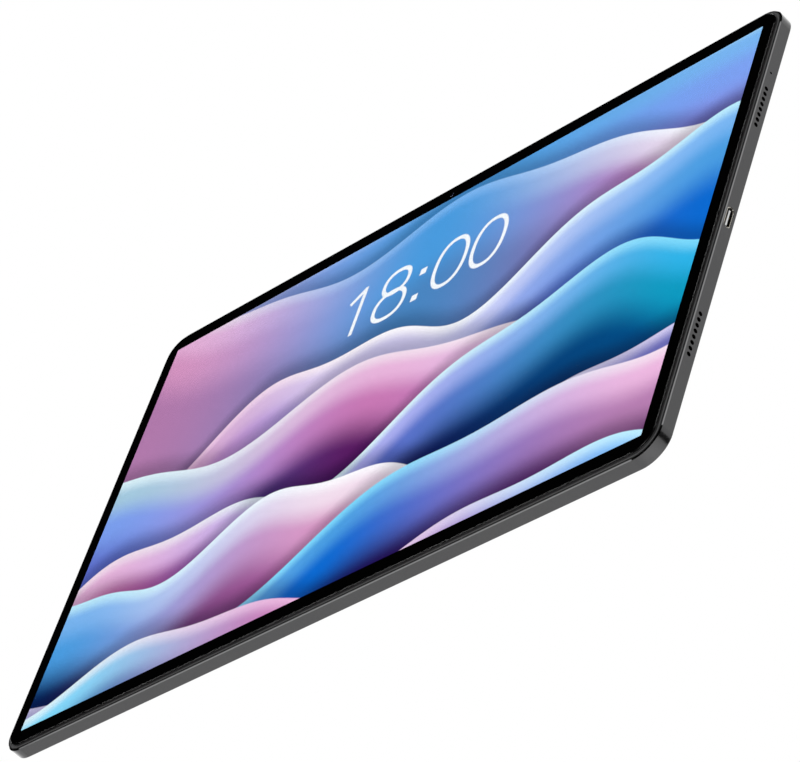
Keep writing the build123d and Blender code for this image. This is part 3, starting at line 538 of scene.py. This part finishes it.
def close_mesh(bm, name):
    """Merges doubles, turns the faces outward and hands back the mesh."""
    bmesh.ops.remove_doubles(bm, verts=bm.verts, dist=1e-7)
    bmesh.ops.recalc_face_normals(bm, faces=bm.faces)
    mesh = bpy.data.meshes.new(name)
    bm.to_mesh(mesh)
    bm.free()
    return mesh


CORNER_STEPS = 6


def rounded_sheet(name, half_x, half_y, corner, low, high):
    """A closed thin sheet with rounded corners."""
    bm = bmesh.new()
    outline = []
    for quarter, (side_x, side_y) in enumerate(((1, 1), (-1, 1), (-1, -1), (1, -1))):
        for step in range(CORNER_STEPS + 1):
            angle = math.radians(90 * (quarter + step / CORNER_STEPS))
            outline.append((side_x * (half_x - corner) + corner * math.cos(angle),
                            side_y * (half_y - corner) + corner * math.sin(angle)))
    bottom, top = ([bm.verts.new((x, y, z)) for x, y in outline] for z in (low, high))
    bm.faces.new(bottom)
    bm.faces.new(top)
    for i in range(len(outline)):
        j = (i + 1) % len(outline)
        bm.faces.new((bottom[i], bottom[j], top[j], top[i]))
    return close_mesh(bm, name)


def turned_piece(name, outline, middle, steps):
    """A closed solid turned about an upright axis from its outline of radius and height."""
    bm = bmesh.new()
    verts = [bm.verts.new((radius, 0, height)) for radius, height in outline]
    edges = [bm.edges.new(pair) for pair in zip(verts, verts[1:])]
    bmesh.ops.spin(bm, geom=verts + edges, axis=(0, 0, 1), cent=(0, 0, 0), steps=steps, angle=math.tau)
    bmesh.ops.translate(bm, verts=bm.verts, vec=(middle.x, middle.y, 0))
    return close_mesh(bm, name)


def dress(slot, material):
    """Gives a material to every CAD node that the record lists under a slot."""
    for node, its_slot in SLOT_OF.items():
        if its_slot == slot:
            for place in NODES[node].material_slots:
                place.material = material


def dress_node(node, material):
    for place in NODES[node].material_slots:
        place.material = material


# ---- Woven dust cloth behind the sound holes ----


class Tree:
    """Adds geometry nodes to one tree and joins them."""

    def __init__(self, name, inputs):
        self.tree = bpy.data.node_groups.new(name, "GeometryNodeTree")
        self.tree.interface.new_socket("Geometry", in_out="INPUT", socket_type="NodeSocketGeometry")
        self.ids = {}
        for label, kind, default in inputs:
            socket = self.tree.interface.new_socket(label, in_out="INPUT", socket_type=kind)
            socket.default_value = default
            self.ids[label] = socket.identifier
        self.tree.interface.new_socket("Geometry", in_out="OUTPUT", socket_type="NodeSocketGeometry")
        self.given = self.add("NodeGroupInput").outputs

    def add(self, kind, feeds=(), **settings):
        node = self.tree.nodes.new(kind)
        for name, value in settings.items():
            setattr(node, name, value)
        for key, value in dict(feeds).items():
            if isinstance(value, bpy.types.NodeSocket):
                self.tree.links.new(value, node.inputs[key])
            else:
                node.inputs[key].default_value = value
        return node

    def math(self, operation, *values):
        return self.add("ShaderNodeMath", enumerate(values), operation=operation).outputs[0]

    def vector(self, x=0.0, y=0.0, z=0.0):
        return self.add("ShaderNodeCombineXYZ", ((0, x), (1, y), (2, z))).outputs[0]


def wire_set(tree, across, sign):
    """Parallel wires along one direction, waving over and under the other set."""
    given = tree.given
    length, width = (given["Width"], given["Height"]) if across == "Y" else (given["Height"], given["Width"])
    pitch = given["Pitch"]
    half_pitch = tree.math("DIVIDE", pitch, 2.0)
    steps = tree.math("ADD", tree.math("FLOOR", tree.math("DIVIDE", length, half_pitch)), 1.0)
    rows = tree.math("ADD", tree.math("FLOOR", tree.math("DIVIDE", width, pitch)), 1.0)
    half_run = tree.math("MULTIPLY", tree.math("SUBTRACT", steps, 1.0), tree.math("MULTIPLY", half_pitch, -0.5))
    half_rows = tree.math("MULTIPLY", tree.math("SUBTRACT", rows, 1.0), tree.math("MULTIPLY", pitch, -0.5))
    along_x = across == "Y"
    run = tree.add("GeometryNodeMeshLine", (
        ("Count", steps), ("Start Location", tree.vector(x=half_run) if along_x else tree.vector(y=half_run)),
        ("Offset", tree.vector(x=half_pitch) if along_x else tree.vector(y=half_pitch))))
    places = tree.add("GeometryNodeMeshLine", (
        ("Count", rows), ("Start Location", tree.vector(y=half_rows) if along_x else tree.vector(x=half_rows)),
        ("Offset", tree.vector(y=pitch) if along_x else tree.vector(x=pitch))))
    copies = tree.add("GeometryNodeInstanceOnPoints", (("Points", places.outputs[0]), ("Instance", run.outputs[0])))
    real = tree.add("GeometryNodeRealizeInstances", ((0, copies.outputs[0]),))
    parts = tree.add("ShaderNodeSeparateXYZ", ((0, tree.add("GeometryNodeInputPosition").outputs[0]),)).outputs
    starts = (half_run, half_rows) if along_x else (half_rows, half_run)
    waves = [tree.math("COSINE", tree.math("MULTIPLY", tree.math("DIVIDE", tree.math("SUBTRACT", part, start), pitch),
                                           math.pi)) for part, start in zip(parts[:2], starts)]
    lift = tree.math("MULTIPLY", tree.math("MULTIPLY", *waves), tree.math("MULTIPLY", given["Wave"], sign))
    waved = tree.add("GeometryNodeSetPosition", ((0, real.outputs[0]), ("Offset", tree.vector(z=lift))))
    line = tree.add("GeometryNodeMeshToCurve", ((0, waved.outputs[0]),))
    section = tree.add("GeometryNodeCurvePrimitiveCircle", (("Resolution", 4), ("Radius", given["Wire radius"])))
    return tree.add("GeometryNodeCurveToMesh", ((0, line.outputs[0]), (1, section.outputs[0]),
                                                ("Fill Caps", True))).outputs[0]


def cloth_tree(material):
    """Woven cloth, copied to every point of the mesh that carries the modifier."""
    tree = Tree("woven cloth", (("Width", "NodeSocketFloat", 21.0 * MM), ("Height", "NodeSocketFloat", 2.6 * MM),
                                ("Pitch", "NodeSocketFloat", 0.2 * MM), ("Wire radius", "NodeSocketFloat", 0.04 * MM),
                                ("Wave", "NodeSocketFloat", 0.03 * MM)))
    both = tree.add("GeometryNodeJoinGeometry")
    for across, sign in (("Y", 1.0), ("Z", -1.0)):
        tree.tree.links.new(wire_set(tree, across, sign), both.inputs[0])
    upright = tree.add("FunctionNodeEulerToRotation", ((0, (math.pi / 2, 0.0, math.pi / 2)),))
    copies = tree.add("GeometryNodeInstanceOnPoints", (("Points", tree.given["Geometry"]),
                                                       ("Instance", both.outputs[0]),
                                                       ("Rotation", upright.outputs[0])))
    real = tree.add("GeometryNodeRealizeInstances", ((0, copies.outputs[0]),))
    finished = tree.add("GeometryNodeSetMaterial", ((0, real.outputs[0]), ("Material", material)))
    tree.add("NodeGroupOutput", ((0, finished.outputs[0]),))
    return tree


def grown_mesh(points, tree, sizes, name):
    """Runs a geometry tree over loose points and hands back its plain mesh."""
    seed = bpy.data.meshes.new(name + "_seed")
    seed.from_pydata(points, [], [])
    carrier = bpy.data.objects.new(name + "_carrier", seed)
    bpy.context.scene.collection.objects.link(carrier)
    modifier = carrier.modifiers.new("grow", "NODES")
    modifier.node_group = tree.tree
    for label, value in sizes.items():
        modifier[tree.ids[label]] = value
    graph = bpy.context.evaluated_depsgraph_get()
    mesh = bpy.data.meshes.new_from_object(carrier.evaluated_get(graph))
    mesh.name = name
    bpy.data.objects.remove(carrier)
    bpy.data.meshes.remove(seed)
    return mesh


# ---- Floor, lights and camera ----

FLOOR_REACH = 9.0
FLAG_X, FLAG_Y, FLAG_Z = 0.9, (-0.1, 0.24), (-0.54, -0.16)
AIM = (9.5 * MM, -1.43 * MM, 5.83 * MM)
SENSOR_WIDTH = 36.0
SOFT_BOXES = (("overhead", (-1.7, 1.4, 3.5), (4.2, 4.2), "overhead"),
              ("chamfer_right", (1.2, 2.0, 1.95), (1.0, 1.0), "side"),
              ("chamfer_near", (-1.9, -1.2, 2.0), (1.0, 1.0), "side"),
              ("near_floor", (0.9, -1.2, 1.2), (0.8, 0.8), "near"))
DOWNWARD = "near_floor"


def lay_floor(look):
    """A wide pale floor that lets a view from below through."""
    material, net, shader = new_finish("pale_floor", Roughness=1.0, Specular_IOR_Level=0.0)
    shader.inputs["Base Color"].default_value = (*look.floor_colour, 1.0)
    plain = net.add("ShaderNodeEmission", ((0, grey(1.0)),))
    seen = net.add("ShaderNodeLightPath").outputs["Is Camera Ray"]
    above = net.add("ShaderNodeMixShader", ((0, seen), (1, shader.outputs[0]), (2, plain.outputs[0])))
    clear = net.add("ShaderNodeBsdfTransparent")
    below = net.add("ShaderNodeNewGeometry").outputs["Backfacing"]
    either = net.add("ShaderNodeMixShader", ((0, below), (1, above.outputs[0]), (2, clear.outputs[0])))
    net.put(net.tree.nodes["Material Output"].inputs["Surface"], either.outputs[0])
    mesh = bpy.data.meshes.new("floor")
    corners = [(x * FLOOR_REACH, y * FLOOR_REACH, -look.floor_drop) for x, y in ((-1, -1), (1, -1), (1, 1), (-1, 1))]
    mesh.from_pydata(corners, [], [(0, 1, 2, 3)])
    mesh.materials.append(material)
    floor = bpy.data.objects.new("floor", mesh)
    bpy.context.scene.collection.objects.link(floor)


def hang_flag():
    """A dark card, seen only in reflections, that shapes the light on the near corner."""
    material = new_finish("dark_card", Roughness=1.0, Specular_IOR_Level=0.0, Base_Color=grey(0.002))[0]
    mesh = bpy.data.meshes.new("flag")
    mesh.from_pydata([(FLAG_X, y, z) for y, z in ((FLAG_Y[0], FLAG_Z[0]), (FLAG_Y[1], FLAG_Z[0]),
                                                  (FLAG_Y[1], FLAG_Z[1]), (FLAG_Y[0], FLAG_Z[1]))],
                     [], [(0, 1, 2, 3)])
    mesh.materials.append(material)
    flag = bpy.data.objects.new("flag", mesh)
    bpy.context.scene.collection.objects.link(flag)
    flag.visible_camera = flag.visible_diffuse = flag.visible_shadow = False


def light_studio(scene, look):
    """Soft boxes aimed at the tablet, and a surround that only the camera sees bright."""
    for name, place, size, power in SOFT_BOXES:
        light = bpy.data.lights.new(name, "AREA")
        light.shape, light.size, light.size_y = "RECTANGLE", *size
        light.energy = getattr(look, power)
        lamp = bpy.data.objects.new(name, light)
        back = Vector((0, 0, 1)) if name == DOWNWARD else Vector(place) - Vector(AIM)
        lamp.matrix_world = Matrix.Translation(place) @ back.to_track_quat("Z", "Y").to_matrix().to_4x4()
        lamp.visible_camera = False
        lamp.visible_glossy = power != "overhead"
        scene.collection.objects.link(lamp)
    world = bpy.data.worlds.new("studio")
    world.use_nodes = True
    scene.world = world
    net = Net(world.node_tree)
    seen = net.add("ShaderNodeLightPath").outputs["Is Camera Ray"]
    sky = world.node_tree.nodes["Background"]
    net.put(sky.inputs["Strength"], net.ease(seen, 0.0, 1.0, look.surround, 1.0, "LINEAR"))
    sky.inputs["Color"].default_value = grey(1.0)
    scene.view_settings.view_transform = "Standard"


def stand_camera(scene, look):
    """The camera, from its angles round the aim point."""
    flat = math.cos(look.elevation)
    back = Vector((flat * math.sin(look.azimuth), -flat * math.cos(look.azimuth), math.sin(look.elevation)))
    turn = back.to_track_quat("Z", "Y").to_matrix() @ Matrix.Rotation(-look.roll, 3, "Z")
    lens = bpy.data.cameras.new("camera")
    lens.lens, lens.sensor_width, lens.clip_start = look.lens, SENSOR_WIDTH, 0.01
    camera = bpy.data.objects.new("camera", lens)
    camera.matrix_world = Matrix.Translation(Vector(AIM) + look.distance * back) @ turn.to_4x4()
    scene.collection.objects.link(camera)
    scene.camera = camera


# ---- Settings, in the sidebar ----


class TabletFinish(bpy.types.PropertyGroup):
    """Colours and sizes of the finishes and fine pieces."""

    metal: bpy.props.FloatVectorProperty(name="Metal", description="Colour of the anodised metal", size=3,
                                         subtype="COLOR", min=0, max=1, default=(0.06, 0.06, 0.061))
    metal_roughness: bpy.props.FloatProperty(name="Metal Roughness", description="Roughness of the anodising",
                                             subtype="FACTOR", min=0, max=1, default=0.21)
    chamfer_shine: bpy.props.FloatProperty(name="Chamfer Shine", min=1, max=9, default=3.6,
                                           description="How much brighter the cut chamfer is than the metal")
    glass_tint: bpy.props.FloatVectorProperty(name="Glass Tint", description="Colour of the cover glass", size=3,
                                              subtype="COLOR", min=0, max=1, default=(0.98, 0.985, 0.985))
    picture_brightness: bpy.props.FloatProperty(name="Picture Brightness", min=0, max=10, default=1.34,
                                                description="Strength of the screen's own light")
    cloth_pitch: bpy.props.FloatProperty(name="Cloth Pitch", description="Distance between the dust cloth's wires",
                                         subtype="DISTANCE", unit="LENGTH", min=0.1 * MM, default=0.2 * MM)
    cloth_wire: bpy.props.FloatProperty(name="Cloth Wire", description="Radius of the dust cloth's wires",
                                        subtype="DISTANCE", unit="LENGTH", min=0.01 * MM, default=0.04 * MM)
    flash_rings: bpy.props.IntProperty(name="Flash Rings", description="Number of rings in the flash lens",
                                       min=1, max=12, default=6)


class TabletStage(bpy.types.PropertyGroup):
    """The floor, the lights and where the camera stands."""

    floor_drop: bpy.props.FloatProperty(name="Floor Drop", description="How far the floor is below the tablet",
                                        subtype="DISTANCE", unit="LENGTH", min=0, default=0.55)
    floor_colour: bpy.props.FloatVectorProperty(name="Floor", description="Colour of the floor", size=3,
                                                subtype="COLOR", min=0, max=1, default=(0.9, 0.9, 0.9))
    overhead: bpy.props.FloatProperty(name="Overhead Light", description="Power of the overhead light",
                                      unit="POWER", min=0, default=400)
    surround: bpy.props.FloatProperty(name="Surround", description="How bright the surround looks in reflections",
                                      min=0, max=1, default=0.004)
    side: bpy.props.FloatProperty(name="Side Lights", description="Power of each side light",
                                  unit="POWER", min=0, default=3.2)
    near: bpy.props.FloatProperty(name="Near Light", description="Power of the light on the near floor",
                                  unit="POWER", min=0, default=48)
    distance: bpy.props.FloatProperty(name="Distance", description="From the aim point to the camera",
                                      subtype="DISTANCE", unit="LENGTH", min=0.1, default=1.335)
    azimuth: bpy.props.FloatProperty(name="Azimuth", description="Where the camera stands, round from the front",
                                     subtype="ANGLE", default=math.radians(44.497))
    elevation: bpy.props.FloatProperty(name="Elevation", description="How high the camera looks from",
                                       subtype="ANGLE", default=math.radians(23.133))
    roll: bpy.props.FloatProperty(name="Roll", description="How far the camera is rolled over",
                                  subtype="ANGLE", default=math.radians(48.47))
    lens: bpy.props.FloatProperty(name="Lens", description="Focal length", unit="CAMERA", min=1, default=177.386)


def finish_settings(context):
    return context.scene.tablet_finish


# ---- Operators ----


RING_SHINE, RING_ROUGHNESS = 3.0, 0.14
KEY_ROUGHNESS = 0.9


class TABLET_OT_metal_shell(bpy.types.Operator):
    """Finish the housing, the keys, the card tray and the camera ring"""

    bl_idname = "tablet.metal_shell"
    bl_label = "Metal Shell"
    bl_options = {"REGISTER", "UNDO"}

    def execute(self, context):
        look = finish_settings(context)
        colour = tuple(look.metal)
        dress("anodised_metal", anodised_finish("anodised_metal", colour, look.metal_roughness, look.chamfer_shine))
        dress("key_metal", anodised_finish("key_metal", colour, look.metal_roughness * KEY_ROUGHNESS, 1.0, rim=False))
        ring = tuple(channel * RING_SHINE for channel in colour)
        dress_node("rear_camera_ring", anodised_finish("ring_metal", ring, RING_ROUGHNESS, 1.0, rim=False))
        return {"FINISHED"}


class TABLET_OT_front_glass(bpy.types.Operator):
    """Finish the cover glass, its black border, its tape and the frame round it"""

    bl_idname = "tablet.front_glass"
    bl_label = "Front Glass"
    bl_options = {"REGISTER", "UNDO"}

    def execute(self, context):
        look = finish_settings(context)
        dress("cover_glass", cover_glass_finish((*look.glass_tint, 1.0)))
        dress("black_ink", ink_finish())
        for slot in ("frame_plastic", "black_tape"):
            dress(slot, plain_finish(slot))
        return {"FINISHED"}


SCREEN_X, SCREEN_Y = 301.62 * MM, 188.52 * MM
PICTURE_MARGIN, PICTURE_CORNER = 0.02 * MM, 0.4 * MM
PICTURE_FROM, PICTURE_TO = 0.2, 0.7


class TABLET_OT_lit_picture(bpy.types.Operator):
    """Lay the lit picture of silk waves and clock numerals over the panel"""

    bl_idname = "tablet.lit_picture"
    bl_label = "Lit Picture"
    bl_options = {"REGISTER", "UNDO"}

    def execute(self, context):
        ink_low, ink_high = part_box("bezel_ink")
        rise = ink_high.z - ink_low.z
        mesh = rounded_sheet("lit_picture", SCREEN_X / 2 - PICTURE_MARGIN, SCREEN_Y / 2 - PICTURE_MARGIN,
                             PICTURE_CORNER, ink_low.z + PICTURE_FROM * rise, ink_low.z + PICTURE_TO * rise)
        material = picture_finish(finish_settings(context).picture_brightness)
        new_piece("lit_picture", mesh, material, "chassis", "lcd_glass")
        return {"FINISHED"}


class TABLET_OT_display_layers(bpy.types.Operator):
    """Finish the panel, films, light guide, lamps and pan under the glass"""

    bl_idname = "tablet.display_layers"
    bl_label = "Display Layers"
    bl_options = {"REGISTER", "UNDO"}

    def execute(self, context):
        dress("lcd_glass", panel_finish())
        for slot in ("white_film", "clear_acrylic", "lamp_plastic", "steel"):
            dress(slot, plain_finish(slot))
        return {"FINISHED"}


class TABLET_OT_battery(bpy.types.Operator):
    """Finish the two battery pouches, their tapes and tabs"""

    bl_idname = "tablet.battery"
    bl_label = "Battery"
    bl_options = {"REGISTER", "UNDO"}

    def execute(self, context):
        for slot in ("pouch_foil", "white_tape", "nickel"):
            dress(slot, plain_finish(slot))
        return {"FINISHED"}


class TABLET_OT_boards(bpy.types.Operator):
    """Finish the boards, chips, cables, sockets and screws"""

    bl_idname = "tablet.boards"
    bl_label = "Boards"
    bl_options = {"REGISTER", "UNDO"}

    def execute(self, context):
        for slot in ("circuit_board", "flex_film", "chip_plastic", "connector_plastic", "screw_steel", "graphite",
                     "thermal_rubber", "gold"):
            dress(slot, plain_finish(slot))
        dress_node("usb_tongue", plain_finish("port_tongue"))
        return {"FINISHED"}


class TABLET_OT_speakers(bpy.types.Operator):
    """Finish the speaker boxes, cones and foam"""

    bl_idname = "tablet.speakers"
    bl_label = "Speakers"
    bl_options = {"REGISTER", "UNDO"}

    def execute(self, context):
        for slot in ("speaker_plastic", "speaker_cone", "black_foam"):
            dress(slot, plain_finish(slot))
        return {"FINISHED"}


CLOTH_WIDTH, CLOTH_DEPTH = 21.2 * MM, 0.15 * MM
CLOTH_MARGIN, CLOTH_SPARE = 0.1 * MM, 0.005 * MM


class TABLET_OT_dust_cloth(bpy.types.Operator):
    """Weave the dust cloths behind the four rows of sound holes"""

    bl_idname = "tablet.dust_cloth"
    bl_label = "Dust Cloth"
    bl_options = {"REGISTER", "UNDO"}

    def execute(self, context):
        look = finish_settings(context)
        low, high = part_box("speaker_meshes")
        sheet_x = high.x - CLOTH_DEPTH / 2
        sheet_y = high.y - CLOTH_WIDTH / 2
        middle_z = (low.z + high.z) / 2
        points = [(side_x * sheet_x, side_y * sheet_y, middle_z) for side_x in (-1, 1) for side_y in (-1, 1)]
        material = plain_finish("mesh_steel")
        dress("mesh_steel", material)
        sizes = {"Width": CLOTH_WIDTH - 2 * CLOTH_MARGIN, "Height": high.z - low.z - 2 * CLOTH_MARGIN,
                 "Pitch": look.cloth_pitch, "Wire radius": look.cloth_wire,
                 "Wave": CLOTH_DEPTH / 2 - look.cloth_wire - CLOTH_SPARE}
        mesh = grown_mesh(points, cloth_tree(material), sizes, "dust_cloth")
        new_piece("dust_cloth", mesh, material, "chassis", "mesh_steel", "speaker_meshes")
        return {"FINISHED"}


class TABLET_OT_cameras(bpy.types.Operator):
    """Finish the front and rear camera lenses and the rear window"""

    bl_idname = "tablet.cameras"
    bl_label = "Cameras"
    bl_options = {"REGISTER", "UNDO"}

    def execute(self, context):
        for node in ("front_camera_lens", "rear_camera_lens"):
            dress_node(node, lens_finish(node.replace("camera_lens", "lens_glass"), node))
        dress("window_glass", window_finish())
        return {"FINISHED"}


RING_DEPTH = 0.16 * MM
FLASH_INNER, RING_SLANT, RING_TROUGH, FLASH_STEPS = 0.86, 0.85, 0.1, 64


class TABLET_OT_flash_lens(bpy.types.Operator):
    """Turn the flash lens with its fine rings"""

    bl_idname = "tablet.flash_lens"
    bl_label = "Flash Lens"
    bl_options = {"REGISTER", "UNDO"}

    def execute(self, context):
        low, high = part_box("flash_lens")
        radius, rings = (high.x - low.x) / 2, finish_settings(context).flash_rings
        outline = [(0.0, high.z), (radius, high.z), (radius, low.z)]
        inner = radius * FLASH_INNER
        outline.append((inner, low.z))
        for ring in range(rings, 0, -1):
            outside, inside = (inner * (ring - shift) / rings for shift in (0.0, RING_SLANT))
            outline += [(outside, low.z + RING_DEPTH), (inside, low.z + RING_DEPTH * RING_TROUGH)]
        outline.append((0.0, low.z))
        mesh = turned_piece("flash_rings", outline, (low + high) / 2, FLASH_STEPS)
        new_piece("flash_rings", mesh, flash_finish(), "chassis", "flash_plastic", "flash_lens")
        return {"FINISHED"}


class TABLET_OT_stage(bpy.types.Operator):
    """Set up the pale floor, the soft lights and the camera"""

    bl_idname = "tablet.stage"
    bl_label = "Studio Stage"
    bl_options = {"REGISTER", "UNDO"}

    def execute(self, context):
        look = context.scene.tablet_stage
        lay_floor(look)
        hang_flag()
        light_studio(context.scene, look)
        stand_camera(context.scene, look)
        return {"FINISHED"}


class TABLET_PT_sidebar(bpy.types.Panel):
    """Lists the tablet's pieces and settings"""

    bl_idname = "TABLET_PT_sidebar"
    bl_label = "Tablet"
    bl_space_type = "VIEW_3D"
    bl_region_type = "UI"
    bl_category = "Tablet"

    def draw(self, context):
        for operator in OPERATORS:
            self.layout.operator(operator.bl_idname)
        for settings in (context.scene.tablet_finish, context.scene.tablet_stage):
            box = self.layout.box()
            for name in settings.__annotations__:
                box.prop(settings, name)


# ---- Registering and running ----

OPERATORS = (TABLET_OT_metal_shell, TABLET_OT_front_glass, TABLET_OT_lit_picture, TABLET_OT_display_layers,
             TABLET_OT_battery, TABLET_OT_boards, TABLET_OT_speakers, TABLET_OT_dust_cloth, TABLET_OT_cameras,
             TABLET_OT_flash_lens, TABLET_OT_stage)
CLASSES = (TabletFinish, TabletStage, *OPERATORS, TABLET_PT_sidebar)


def register():
    for cls in CLASSES:
        bpy.utils.register_class(cls)
    bpy.types.Scene.tablet_finish = bpy.props.PointerProperty(type=TabletFinish)
    bpy.types.Scene.tablet_stage = bpy.props.PointerProperty(type=TabletStage)


def unregister():
    del bpy.types.Scene.tablet_stage
    del bpy.types.Scene.tablet_finish
    for cls in reversed(CLASSES):
        bpy.utils.unregister_class(cls)


def main():
    register()
    for name, height_of in EFFECTS.items():
        surface_group(name, height_of)
    for operator in OPERATORS:
        group, call = operator.bl_idname.split(".")
        getattr(getattr(bpy.ops, group), call)()


if __name__ == "__main__":
    main()
